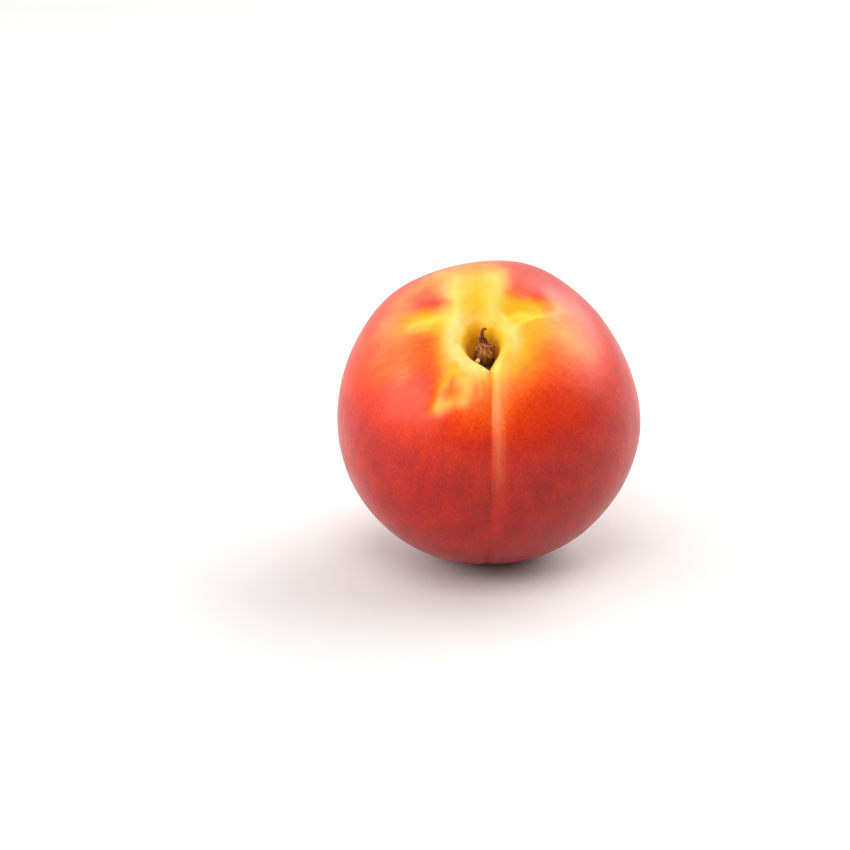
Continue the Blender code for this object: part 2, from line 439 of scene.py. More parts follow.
@dataclass(frozen=True)
class DriedStalk:
    """Fruit stalk dried to cork and fibre after picking.

    The soft tissue has shrunk between the fibres, so it is crumpled and dull: orange tan and
    mauve on the folds, painted shade nearly black in the creases, still olive at the foot, burnt
    brown at the thin end, with a pale bead low on the front whose near-white is a painted glint.
    """

    name: str = "dried fruit stalk"
    # painted shade, nearly black, in the grooves and creases
    crease_shade_color: str = "542A10"
    bark_color: str = "9C5820"
    ridge_color: str = "E2A45C"
    mauve_color: str = "B4808A"
    foot_color: str = "6C6614"
    burnt_color: str = "7A3A10"
    # painted glint: the near-white of the bead low on the front
    painted_glint_color: str = "FFEFD6"
    roughness: float = 0.60
    glint_bead_roughness: float = 0.22
    bark_ior: float = 1.5
    mauve_mm: float = 2.4
    fibre_depth_mm: float = 0.10

    def build(self) -> bpy.types.Material:
        """Build the stalk material."""
        material, board = fresh_material(self.name)
        meridian = board.add("Attribute", {"attribute_name": Mark.MERIDIAN.value})
        fibres = board.add(
            "TexNoise",
            {"Scale": 1.0, "Detail": 5.0, "Roughness": 0.65, "Distortion": 0.4},
            {"Vector": meridian.outputs["Vector"]},
        )
        relief = board.add(
            "Bump", {"Strength": 1.0, "Distance": self.fibre_depth_mm * MM}, {"Height": fibres}
        )
        pith = board.add("Attribute", {"attribute_name": Mark.PAINTED_GLINT.value}).outputs["Fac"]
        gloss = board.add(
            "MapRange", {"To Min": self.roughness, "To Max": self.glint_bead_roughness}, {"Value": pith}
        )
        color = self.layered(board, fibres, pith)
        shader = board.add(
            "BsdfPrincipled",
            {"IOR": self.bark_ior},
            {"Base Color": color, "Roughness": gloss, "Normal": relief},
        )
        board.add("OutputMaterial", {}, {"Surface": shader})
        return material

    def layered(
        self, board: NodeBoard, fibres: bpy.types.Node, pith: bpy.types.NodeSocket
    ) -> Feed:
        """Bark colour with its tints, its painted shade and its painted glint laid over one another.

        Args:
            board: The board of the stalk material.
            fibres: Noise that is long up the stalk and fine across it.
            pith: How much of the painted glint shows, as a share.

        Returns:
            The finished colour.
        """
        place = board.add("TexCoord").outputs["Object"]
        height, fold = (
            board.add("Attribute", {"attribute_name": mark.value}).outputs["Fac"]
            for mark in (Mark.HEIGHT, Mark.FOLD_SHADE)
        )
        patches = board.add(
            "TexNoise", {"Scale": per_size(self.mauve_mm), "Detail": 2.0}, {"Vector": place}
        )
        # painted shade in the grooves of the fibres, bark on their middles, paler ridges on their
        # tops
        stops = [
            (0.30, linear(self.crease_shade_color)),
            (0.46, linear(self.bark_color)),
            (0.64, linear(self.ridge_color)),
        ]
        bark = board.add("ValToRGB", {"stops": stops}, {"Fac": fibres})
        layers = (
            (patches, 0.52, 0.64, 0.38, self.mauve_color),
            (height, 0.66, 0.34, 0.85, self.foot_color),
            (height, 0.74, 0.82, 0.85, self.burnt_color),
            # painted shade in the folds and creases
            (fold, 0.15, 0.95, 0.70, self.crease_shade_color),
            # painted glint on the bead
            (pith, 0.0, 1.0, 1.0, self.painted_glint_color),
        )
        return board.lay_over(bark, layers)


# ---------------------------------------------------------------- the fruit's form


@dataclass(frozen=True)
class Swell:
    """A cheek or a flat of the fruit: a low rise or fall over part of the ball."""

    toward: Vector
    height: float
    spread: float


@dataclass(frozen=True)
class Stroke:
    """A soft stroke over the skin at the stem end, laid out as seen along the stem axis.

    Attributes:
        start: Where it begins, millimetres from the stem axis.
        end: Where it ends.
        left: Its spread to the left of the way from start to end, millimetres.
        right: Its spread to the right.
        depth: How deep it sinks the skin, millimetres. A ridge has a depth below zero.
        flush: How much flush it adds. One that the sun missed takes some away.
        pale: How much painted highlight it lays on, as a share. Below zero it takes some away.
        fade: How gently its ends fade, millimetres. At zero they fade as its sides do.
    """

    start: tuple[float, float]
    end: tuple[float, float]
    left: float
    right: float
    depth: float = 0.0
    flush: float = 0.0
    pale: float = 0.0
    fade: float = 0.0

    def share(self, x: float, y: float) -> float:
        """How strong the stroke is at a point, 1 along its middle and fading past its ends."""
        run_x = self.end[0] - self.start[0]
        run_y = self.end[1] - self.start[1]
        length = math.hypot(run_x, run_y)
        off_x = x - self.start[0]
        off_y = y - self.start[1]
        along = (off_x * run_x + off_y * run_y) / length
        side = (run_x * off_y - run_y * off_x) / length
        beyond = max(0.0, -along, along - length)
        spread = self.left if side > 0.0 else self.right
        return bell(side, spread) * bell(beyond, self.fade or (self.left + self.right) / 2.0)


@dataclass(frozen=True)
class Stretch:
    """A stretch of azimuth over which a band of flush starts further from the stem.

    Attributes:
        turn: Azimuth of its middle, degrees.
        before: Spread on the clockwise side, degrees.
        after: Spread on the other side, degrees.
        further: How much further the band starts, degrees.
    """

    turn: float
    before: float
    after: float
    further: float

    def reach(self, turn: float) -> float:
        """How much further the band starts at an azimuth, both in degrees."""
        off = turn_between(turn, self.turn, 360.0)
        spread = self.before if off < 0.0 else self.after
        return self.further * math.exp(-(abs(off / spread) ** 3))


@dataclass(frozen=True)
class FlushBand:
    """How far from the stem the flush has reached a certain share.

    Attributes:
        share: The share of flush.
        polar: Angle from the stem axis where it starts, degrees.
        stretches: Where it starts further away.
    """

    share: float
    polar: float
    stretches: tuple[Stretch, ...]

    def start(self, turn: float) -> float:
        """Angle from the stem axis where the band starts at an azimuth, in degrees."""
        return self.polar + sum(stretch.reach(turn) for stretch in self.stretches)


@dataclass
class SkinSpot:
    """One point of the skin and what its finish needs to know there."""

    place: Vector
    flush: float
    pale: float
    wall: float
    tip: float


@dataclass(frozen=True)
class StemCavity:
    """The hollow that the stalk stands in, in millimetres about the stem axis.

    Its near wall is steep and comes to a cusp where the suture begins, its far wall slopes
    gently, and faint pleats run down from its rim.
    """

    pull: float = 12.0
    floor: float = 6.4
    floor_sharpness: float = 6.0
    floor_shift: float = 1.1
    radius: float = 2.66
    rim_shift: float = 0.80
    rim_from: float = 1.5
    rim_to: float = 5.0
    side_sharpness: float = 4.4
    rear_softness: float = 1.9
    front_reach: float = 0.22
    cusp_turn: float = math.radians(-74.0)
    cusp_reach: float = 0.64
    cusp_spread: float = 0.38
    cusp_sharpness: float = 4.2
    pleat_count: int = 13
    pleat_depth: float = 0.05
    pleat_turn: float = 1.1
    pleat_place: float = 5.6
    pleat_spread: float = 1.7

    def reach(self, across: float, back: float) -> float:
        """Depth that the cavity would have without its floor.

        Args:
            across: Place across the cavity's own axis.
            back: Place away from the suture.

        Returns:
            The depth.
        """
        out = math.hypot(across, back)
        if out < TINY:
            return self.pull
        front = ease(0.0, 1.0, -back / out)
        rear = ease(0.0, 1.0, back / out)
        off_cusp = abs(turn_between(math.atan2(back, across), self.cusp_turn))
        cusp = self.cusp_reach * math.exp(-off_cusp / self.cusp_spread) + self.front_reach
        wall = self.radius * (1.0 + cusp * front)
        sharpness = self.side_sharpness + self.cusp_sharpness * front - self.rear_softness * rear
        return self.pull / (1.0 + (out / wall) ** sharpness)

    def depth(self, x: float, y: float) -> float:
        """Depth of the cavity below the plain shoulder.

        Args:
            x: Place across the stem axis.
            y: Place away from the suture.

        Returns:
            The depth.
        """
        shift = self.rim_shift * ease(self.rim_from, self.rim_to, math.hypot(x, y))
        across = x + self.floor_shift + shift
        pull = self.reach(across, y)
        sharpness = self.floor_sharpness
        depth = pull / (1.0 + (pull / self.floor) ** sharpness) ** (1.0 / sharpness)
        pleats = math.cos(self.pleat_count * math.atan2(y, across) + self.pleat_turn)
        out = math.hypot(x, y) - self.pleat_place
        return depth + pleats * (bell(out, self.pleat_spread) * self.pleat_depth)


@dataclass(frozen=True)
class Suture:
    """The seam down the fruit: a crisp fall on its left flank, a wider rise on its right.

    Places along it are angles from the stem axis, radians. Widths across it are millimetres.
    """

    turn: float = math.radians(-90.0)
    offset: float = 0.10
    groove: float = 0.98
    valley: float = 0.85
    valley_width: float = 4.5
    ridge: float = 0.16
    ridge_place: float = 2.0
    ridge_width: float = 0.9
    fall_width: float = 1.05
    fall_sharpness: float = 1.5
    rise_width: float = 1.55
    rise_sharpness: float = 1.25
    notch: float = 0.35
    notch_place: float = 0.22
    notch_spread: float = 0.20
    run: float = 0.60
    run_from: float = 0.05
    run_to: float = 0.25
    fade: float = 0.65
    fade_from: float = 1.0
    fade_to: float = 2.2
    tip_rise: float = 0.25
    tip_place: float = 2.8
    tip_spread: float = 0.30
    tip_end: float = 0.35

    def strength(self, polar: float) -> float:
        """How strong the suture is along its way from the stem to the tip."""
        along = self.notch * bell(polar - self.notch_place, self.notch_spread)
        along += self.run * ease(self.run_from, self.run_to, polar)
        along *= 1.0 - self.fade * ease(self.fade_from, self.fade_to, polar)
        along += self.tip_rise * bell(polar - self.tip_place, self.tip_spread)
        return along * (1.0 - ease(math.pi - self.tip_end, math.pi, polar))

    def depth(self, polar: float, x: float) -> float:
        """Depth of the suture, which is below zero on the ridge beside it."""
        side = x - self.offset
        if side < 0.0:
            groove = math.exp(-((-side / self.fall_width) ** self.fall_sharpness))
            valley = bell(side, self.valley_width)
        else:
            groove = math.exp(-((side / self.rise_width) ** self.rise_sharpness))
            valley = groove
        ridge = self.ridge * bell(side + self.ridge_place, self.ridge_width)
        return self.strength(polar) * (self.groove * groove + self.valley * valley - ridge)


@dataclass(frozen=True)
class NectarineForm:
    """The grown shape of the fruit about its stem axis, in millimetres."""

    # the ball, its shoulder and its tip
    half_width: float = 34.0
    half_height: float = 33.6
    unevenness: float = 0.10
    uneven_pace: float = 0.09
    shoulder_dip: float = 1.6
    shoulder_radius: float = 12.0
    tip_dimple: float = 1.1
    tip_dimple_spread: float = 0.16
    tip_point: float = 0.9
    tip_point_spread: float = 0.022
    # the stem end, and how far down the fruit it reaches
    cavity: StemCavity = field(default_factory=StemCavity)
    suture: Suture = field(default_factory=Suture)
    fade_from: float = math.radians(60.0)
    fade_to: float = math.radians(88.0)
    stroke_limit: float = math.radians(80.0)
    cavity_limit: float = math.radians(90.0)
    # painted highlight on the lip, the gaps in it, and painted highlight on the right flank of the
    # suture
    lip_radius: float = 6.9
    lip_shift: float = 1.7
    lip_spread: float = 1.7
    lip_gaps: tuple[tuple[float, float], ...] = ((1.57, 0.85), (-0.87, 0.60))
    lip_gap_share: float = 0.8
    lip_highlight: float = 0.68
    flank_offset: float = 1.7
    flank_spread: float = 1.20
    flank_highlight: float = 0.20
    flank_from: float = 0.50
    flank_to: float = 1.25
    # how the strokes wander
    wander: float = 0.9
    wander_pace: float = 0.30
    wander_apart: Vector = field(default_factory=lambda: Vector((0.0, 0.0, 9.0)))
    swells: tuple[Swell, ...] = (
        Swell(Vector((0.866, 0.437, 0.242)), -0.75, 26.0),
        Swell(Vector((0.259, 0.845, 0.468)), 0.80, 17.0),
        Swell(Vector((0.985, -0.152, -0.084)), 0.50, 20.0),
        Swell(Vector((-0.966, 0.226, 0.126)), -0.45, 22.0),
        Swell(Vector((-0.643, 0.670, 0.371)), 0.40, 14.0),
        Swell(Vector((-0.550, -0.750, -0.200)), 0.50, 32.0),
        Swell(Vector((0.600, -0.720, -0.250)), 0.35, 30.0),
    )
    strokes: tuple[Stroke, ...] = (
        # the valley behind the cavity, with a low ridge on either side that carries a painted
        # highlight
        Stroke((-2.6, 7.0), (-3.0, 22.0), 1.9, 1.8, depth=0.60, flush=-0.03, fade=4.0),
        Stroke((-7.6, 6.5), (-7.8, 16.0), 3.0, 2.4, depth=-0.22, flush=-0.08, pale=0.46, fade=4.0),
        Stroke((0.8, 8.5), (1.6, 17.0), 2.0, 2.8, depth=-0.22, flush=-0.04, pale=0.36, fade=4.0),
        # the deep hollow to the right of it, the ridge below with a painted highlight along its
        # crest, a broad painted highlight further out, and the flushed rise above
        Stroke((5.0, 7.9), (9.8, 9.2), 2.8, 1.8, depth=1.10, fade=3.0),
        Stroke((4.6, 7.4), (10.2, 8.8), 2.4, 2.3, flush=-0.60, pale=-0.45, fade=1.4),
        Stroke((4.6, 13.0), (9.6, 13.0), 2.0, 1.0, flush=0.13, pale=-0.10, fade=1.8),
        Stroke((11.8, 10.6), (14.8, 10.6), 2.0, 1.7, flush=-0.12, pale=0.10),
        Stroke((4.9, 15.4), (10.8, 14.4), 1.6, 1.4, flush=0.08, pale=-0.06),
        Stroke((13.8, 3.8), (19.6, 0.8), 4.0, 4.0, flush=-0.08, pale=0.15, fade=4.0),
        Stroke((5.4, 3.4), (13.4, 7.6), 0.9, 1.5, depth=-0.36, flush=-0.01, pale=0.14, fade=2.6),
        Stroke((5.2, 18.5), (11.6, 14.6), 3.6, 2.0, depth=-0.20, flush=0.07),
        # the hollow to the left of it and its flushed rise
        Stroke((-9.4, 8.1), (-17.8, 7.2), 2.3, 1.3, depth=0.70, flush=-0.22),
        Stroke((-10.2, 11.4), (-15.4, 12.0), 1.2, 1.8, depth=-0.12, flush=0.15),
        Stroke((-10.6, 10.9), (-15.4, 11.0), 0.8, 1.4, flush=0.13, pale=-0.10),
        Stroke((-10.5, 22.0), (-19.0, 16.5), 3.0, 4.0, flush=-0.22),
        # the strongest painted highlight on the lip
        Stroke((-7.2, -2.0), (-3.4, -6.0), 1.2, 1.3, pale=0.28),
        # the loop of creases left of the suture, flushed in its middle
        Stroke((-8.0, -5.8), (-12.3, -14.4), 1.1, 1.1, depth=0.30, flush=-0.27, pale=-0.1),
        Stroke((-7.6, -5.8), (-5.8, -8.0), 1.1, 1.1, depth=0.20, flush=-0.20, pale=-0.1),
        Stroke((-5.6, -8.8), (-5.7, -13.0), 1.6, 1.6, depth=0.22, flush=-0.26, pale=0.26),
        Stroke((-6.8, -14.0), (-10.8, -14.4), 1.3, 1.3, depth=0.12, flush=-0.18, pale=0.10),
        Stroke((-9.2, -13.8), (-11.6, -14.2), 1.6, 1.6, flush=-0.10, pale=0.14),
        Stroke((-8.0, -8.6), (-9.1, -11.4), 1.0, 1.0, depth=-0.10, flush=0.06),
        Stroke((-4.3, -9.0), (-4.4, -14.0), 0.8, 0.8, depth=0.08, flush=0.05),
        # a painted highlight on the low ridge left of the suture
        Stroke((-2.5, -7.5), (-2.3, -13.0), 0.7, 0.7, pale=0.14),
        # the cheeks, and painted shade on the cavity's left wall
        Stroke((-12.8, 0.5), (-14.2, -8.5), 3.0, 3.4, flush=0.12),
        Stroke((21.0, 14.0), (8.5, 25.0), 5.5, 5.5, flush=0.05),
        Stroke((-4.9, -1.0), (-3.6, 2.4), 1.1, 1.1, flush=0.12),
    )
    flush_bands: tuple[FlushBand, ...] = (
        FlushBand(0.12, 12.5, (
            Stretch(-160.0, 40.0, 50.0, 3.5), Stretch(50.0, 45.0, 25.0, 5.5),
            Stretch(98.0, 20.0, 30.0, 18.0), Stretch(154.0, 14.0, 16.0, 8.0),
        )),
        FlushBand(0.38, 16.5, (
            Stretch(-115.0, 30.0, 28.0, 4.0), Stretch(35.0, 45.0, 35.0, 8.0),
            Stretch(97.0, 20.0, 20.0, 31.0), Stretch(157.0, 13.0, 16.0, 22.0),
        )),
        FlushBand(0.58, 27.0, (
            Stretch(-100.0, 34.0, 34.0, 7.0), Stretch(20.0, 35.0, 45.0, 11.0),
            Stretch(97.0, 21.0, 28.0, 30.0), Stretch(168.0, 32.0, 36.0, 26.0),
        )),
        FlushBand(0.75, 42.0, (
            Stretch(-160.0, 50.0, 30.0, 12.0), Stretch(0.0, 45.0, 40.0, 6.0),
            Stretch(97.0, 21.0, 30.0, 18.0), Stretch(160.0, 32.0, 30.0, 18.0),
        )),
        FlushBand(0.86, 60.0, (Stretch(97.0, 40.0, 70.0, 16.0),)),
        FlushBand(0.95, 110.0, ()),
    )
    flush_start: float = 6.0
    least_band: float = 7.0
    deepest_flush: float = 0.95
    suture_flush: float = -0.06

    def swell_height(self, way: Vector) -> float:
        """How far the cheeks and flats stand off the plain ball in one direction."""
        total = 0.0
        for swell in self.swells:
            apart = math.degrees(way.angle(swell.toward))
            total += swell.height * bell(apart, swell.spread)
        return total

    def grown_flush(self, polar: float, azimuth: float) -> float:
        """How far the flush has grown at a point, before its strokes and clouds break it up.

        Args:
            polar: Angle from the stem axis, radians.
            azimuth: Azimuth, radians.

        Returns:
            A share, 0 for yellow ground and 1 for deep crimson.
        """
        away = math.degrees(polar)
        turn = math.degrees(azimuth)
        low_polar, low_share = self.flush_start, 0.0
        for band in self.flush_bands:
            band_start = max(low_polar + self.least_band, band.start(turn))
            if away < band_start:
                step = max(0.0, (away - low_polar) / (band_start - low_polar))
                return low_share + (band.share - low_share) * step
            low_polar, low_share = band_start, band.share
        return self.deepest_flush

    def spot(self, polar: float, azimuth: float) -> SkinSpot:
        """Work out one point of the skin.

        Args:
            polar: Angle from the stem axis, radians.
            azimuth: Azimuth, radians.

        Returns:
            The point, with its marks.
        """
        ring = math.sin(polar)
        way = Vector((ring * math.cos(azimuth), ring * math.sin(azimuth), math.cos(polar)))
        swell = self.swell_height(way)
        width = self.half_width + swell
        place = way * Vector((width, width, self.half_height + swell))
        place += way * self.unevenness * noise.noise(place * self.uneven_pace)
        flush = self.grown_flush(polar, azimuth)
        # pale is painted highlight: a band on the lip's crest, with gaps, and a band on the suture's
        # right flank
        lip_off = math.hypot(place.x + self.lip_shift, place.y) - self.lip_radius
        stem_side = 1.0 - ease(self.fade_from, self.fade_to, polar)
        pale = self.lip_highlight * bell(lip_off, self.lip_spread) * stem_side
        for turn, spread in self.lip_gaps:
            pale *= 1.0 - self.lip_gap_share * bell(turn_between(azimuth, turn), spread)
        wall = 0.0
        if place.y < 0.0:
            groove = self.suture.depth(polar, place.x)
            flank = bell(place.x - self.suture.offset - self.flank_offset, self.flank_spread)
            pale += self.flank_highlight * flank * (1.0 - ease(self.flank_from, self.flank_to, polar))
            flush += self.suture_flush * groove
            place -= way * groove
        if polar < self.stroke_limit:
            wander = Vector((place.x, place.y, 0.0))
            x = place.x + self.wander * noise.noise(wander * self.wander_pace)
            apart = wander * self.wander_pace + self.wander_apart
            y = place.y + self.wander * noise.noise(apart)
            for stroke in self.strokes:
                share = stroke.share(x, y)
                flush += stroke.flush * share
                pale += stroke.pale * share
                place -= way * stroke.depth * share
        if polar < self.cavity_limit:
            depth = self.cavity.depth(place.x, place.y)
            shoulder = self.shoulder_dip * bell(math.hypot(place.x, place.y), self.shoulder_radius)
            place.z -= (depth + shoulder) * stem_side
            wall = depth / self.cavity.floor
        past = math.pi - polar
        place -= way * self.tip_dimple * bell(past, self.tip_dimple_spread)
        tip = bell(past, self.tip_point_spread)
        place += way * self.tip_point * tip
        return SkinSpot(place, flush, max(0.0, pale), wall, tip)


@dataclass
class Fruit:
    """The fruit: one closed skin, dressed, leaned over and stood on its flat.

    Attributes:
        cad_node: The CAD node it stands for, which gives its size and place.
        form: The grown shape.
        finish: The skin's finish.
        lean: How far the stem axis leans from upright toward -Y.
        rest_cut: Depth of the flat it rests on, millimetres.
        rest_snap: How near the flat a point counts as lying on it, millimetres.
        columns: Columns of faces round the stem axis.
        rings: Rings of faces from cavity to tip.
        column_crowding: How strongly columns draw together toward the suture.
        ring_crowding: How strongly rings draw together toward the cavity.
        strokes_around: How fine the strokes of colour are across.
        strokes_along: How fine they are from stem to tip.
        placing: From grown millimetres to the frame's metres, known once it is built.
    """

    cad_node: str = "nectarine_fruit"
    form: NectarineForm = field(default_factory=NectarineForm)
    finish: RipeSkin = field(default_factory=RipeSkin)
    lean: float = math.radians(39.0)
    rest_cut: float = 0.45
    rest_snap: float = 0.004
    columns: int = 320
    rings: int = 240
    column_crowding: float = 0.62
    ring_crowding: float = 0.60
    strokes_around: float = 15.0
    strokes_along: float = 4.0
    placing: Matrix = field(default_factory=Matrix)

    def build(self) -> bpy.types.Object:
        """Build and dress the fruit, and put it where its CAD solid is."""
        shell = bmesh.new()
        bmesh.ops.create_uvsphere(
            shell, u_segments=self.columns, v_segments=self.rings, radius=1.0
        )
        self.grow(shell)
        self.cut_rest(shell)
        self.placing = self.find_placing(shell)
        bmesh.ops.transform(shell, matrix=self.placing, verts=shell.verts[:])
        bmesh.ops.recalc_face_normals(shell, faces=shell.faces[:])
        piece = piece_from(shell, "ripe_fruit", self.finish.build())
        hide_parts(self.cad_node)
        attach(piece, BODY)
        return piece

    def grow(self, shell: bmesh.types.BMesh) -> None:
        """Move the points of a unit ball onto the skin and mark them."""
        layers = {mark: shell.verts.layers.float.new(mark.value) for mark in FRUIT_MARKS}
        meridian = shell.verts.layers.float_vector.new(Mark.MERIDIAN.value)
        for point in shell.verts:
            polar = self.crowd_ring(polar_of(point.co))
            azimuth = self.crowd_column(math.atan2(point.co.y, point.co.x))
            spot = self.form.spot(polar, azimuth)
            point.co = spot.place
            point[layers[Mark.FLUSH]] = spot.flush
            point[layers[Mark.PAINTED_HIGHLIGHT]] = spot.pale
            point[layers[Mark.WALL]] = spot.wall
            point[layers[Mark.TIP]] = spot.tip
            point[meridian] = self.stroke_place(polar, azimuth)

    def crowd_ring(self, polar: float) -> float:
        """Draw the rings together toward the cavity."""
        share = self.ring_crowding
        return polar * (1.0 - share) + share * polar * polar / math.pi

    def crowd_column(self, azimuth: float) -> float:
        """Draw the columns together toward the suture."""
        suture = self.form.suture.turn
        off = turn_between(azimuth, suture)
        return suture + off - self.column_crowding * math.sin(off)

    def stroke_place(self, polar: float, azimuth: float) -> Vector:
        """A place in which the strokes of colour are long from stem to tip and fine across."""
        around = self.strokes_around
        along = self.strokes_along * polar
        return Vector((around * math.cos(azimuth), around * math.sin(azimuth), along))

    def cut_rest(self, shell: bmesh.types.BMesh) -> None:
        """Cut the small flat that the leaning fruit stands on."""
        down = Vector((0.0, -math.sin(self.lean), -math.cos(self.lean)))
        level = max(point.co.dot(down) for point in shell.verts) - self.rest_cut
        bmesh.ops.bisect_plane(
            shell,
            geom=shell.verts[:] + shell.edges[:] + shell.faces[:],
            dist=self.rest_snap,
            plane_co=down * level,
            plane_no=down,
            clear_outer=True,
        )
        rim = [edge for edge in shell.edges if edge.is_boundary]
        bmesh.ops.edgeloop_fill(shell, edges=rim)

    def find_placing(self, shell: bmesh.types.BMesh) -> Matrix:
        """Lean the grown fruit over and fit its box to its CAD solid's.

        Args:
            shell: The grown fruit, in millimetres about its stem axis.

        Returns:
            The matrix that takes it to the frame.
        """
        lean = Matrix.Rotation(self.lean, 4, "X")
        corners = [lean @ point.co for point in shell.verts]
        low = Vector([min(corner[axis] for corner in corners) for axis in range(3)])
        high = Vector([max(corner[axis] for corner in corners) for axis in range(3)])
        cad_low, cad_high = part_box(self.cad_node)
        scale = (cad_high.x - cad_low.x) / (high.x - low.x)
        middle = (low + high) / 2.0
        cad_middle = (cad_low + cad_high) / 2.0
        shift = cad_middle - middle * scale
        shift.z = cad_low.z - low.z * scale
        return Matrix.Translation(shift) @ Matrix.Scale(scale, 4) @ lean


def piece_from(
    shell: bmesh.types.BMesh, name: str, material: bpy.types.Material
) -> bpy.types.Object:
    """Turn a finished bmesh into a piece at the origin.

    Args:
        shell: The bmesh, in the frame's metres. It is freed.
        name: Name of the piece.
        material: Its finish.

    Returns:
        The piece.
    """
    data = bpy.data.meshes.new(name)
    shell.to_mesh(data)
    shell.free()
    data.shade_smooth()
    data.materials.append(material)
    piece = bpy.data.objects.new(name, data)
    bpy.context.scene.collection.objects.link(piece)
    return piece


# ---------------------------------------------------------------- the stem stub


@dataclass(frozen=True)
class Strand:
    """A loose fibre of the stub, a soft tube drawn through its points.

    Attributes:
        points: Where it runs, millimetres from the middle of the stub's foot.
        start_radius: Its radius where it begins, millimetres.
        end_radius: Its radius where it ends.
        pith: How much painted glint it carries, as a share.
        columns: Columns of faces round it.
        rings_per_point: Rings of faces for each of its points.
        end_sharpness: How abruptly its two ends close.
        way_step: How far before and after a place its direction is read, as a share.
        grain_around: How fine its bark is round it.
        grain_along: How fine its bark is along it.
    """

    points: tuple[tuple[float, float, float], ...]
    start_radius: float
    end_radius: float
    pith: float = 0.0
    columns: int = 10
    rings_per_point: int = 8
    end_sharpness: float = 5.0
    way_step: float = 0.01
    grain_around: float = 0.8
    grain_along: float = 0.9

    def grow(self, shell: bmesh.types.BMesh, stub_length: float) -> None:
        """Draw the fibre in a mesh and mark its points.

        Args:
            shell: The stub's mesh, in millimetres from its foot.
            stub_length: Length of the whole stub, which its heights are shares of.
        """
        rings = self.rings_per_point * len(self.points)
        made = bmesh.ops.create_uvsphere(
            shell, u_segments=self.columns, v_segments=rings, radius=1.0
        )
        height = shell.verts.layers.float[Mark.HEIGHT.value]
        pith = shell.verts.layers.float[Mark.PAINTED_GLINT.value]
        meridian = shell.verts.layers.float_vector[Mark.MERIDIAN.value]
        for point in made["verts"]:
            share = 1.0 - polar_of(point.co) / math.pi
            around = Vector((point.co.x, point.co.y, 0.0))
            if around.length > TINY:
                around.normalize()
            radius = self.start_radius + (self.end_radius - self.start_radius) * share
            radius *= math.sqrt(max(0.0, 1.0 - abs(2.0 * share - 1.0) ** self.end_sharpness))
            middle = self.place(share)
            ahead = self.place(min(1.0, share + self.way_step))
            way = ahead - self.place(max(0.0, share - self.way_step))
            turn = Vector((0.0, 0.0, 1.0)).rotation_difference(way)
            point.co = middle + turn @ (around * radius)
            point[height] = middle.z / stub_length
            point[pith] = self.pith
            point[meridian] = around * self.grain_around + middle * self.grain_along

    def place(self, share: float) -> Vector:
        """A point on the smooth curve through the fibre's points.

        Args:
            share: How far along the fibre, 0 to 1.

        Returns:
            The point, in millimetres from the foot.
        """
        last = len(self.points) - 1
        step = min(int(share * last), last - 1)
        t = share * last - step
        before, here, there, after = (
            Vector(self.points[max(0, min(last, step + shift))]) for shift in (-1, 0, 1, 2)
        )
        curve = here * 2.0 + (there - before) * t
        curve += (before * 2.0 - here * 5.0 + there * 4.0 - after) * t * t
        curve += (here * 3.0 - before - there * 3.0 + after) * t * t * t
        return curve / 2.0


@dataclass(frozen=True)
class CrumpledBark:
    """The relief of the dried bark: folds up its length, and a crumpled head.

    A pace says how fine a relief is round the stub, and a climb how fine it is up it.
    """

    swell: float = 0.10
    fold_depth: float = 0.24
    fold_width: float = 0.26
    fold_sharpness: float = 1.5
    fold_pace: float = 1.9
    fold_climb: float = 0.22
    fold_start: float = 5.0
    sway: float = 0.9
    sway_pace: float = 0.8
    sway_climb: float = 0.30
    head_from: float = 2.0
    head_to: float = 4.2
    crumple_depth: float = 0.36
    crumple_pace: float = 1.5
    crumple_climb: float = 0.75
    crumple_start: tuple[float, float, float] = (4.0, 2.0, 0.0)
    crumple_lift: float = 0.5
    crease_width: float = 0.22
    crease_share: float = 0.6
    least_radius: float = 0.05
    grain_around: float = 2.4
    grain_along: float = 0.55


@dataclass(frozen=True)
class SideFibres:
    """The fibres that stand out up the sides of the stub, in millimetres and radians."""

    count: int = 13
    points: int = 5
    turn_play: float = 0.35
    foot: float = 0.3
    foot_play: float = 0.5
    top: float = 3.6
    top_play: float = 1.1
    wave: float = 0.22
    start_radius: float = 0.15
    end_radius: float = 0.21


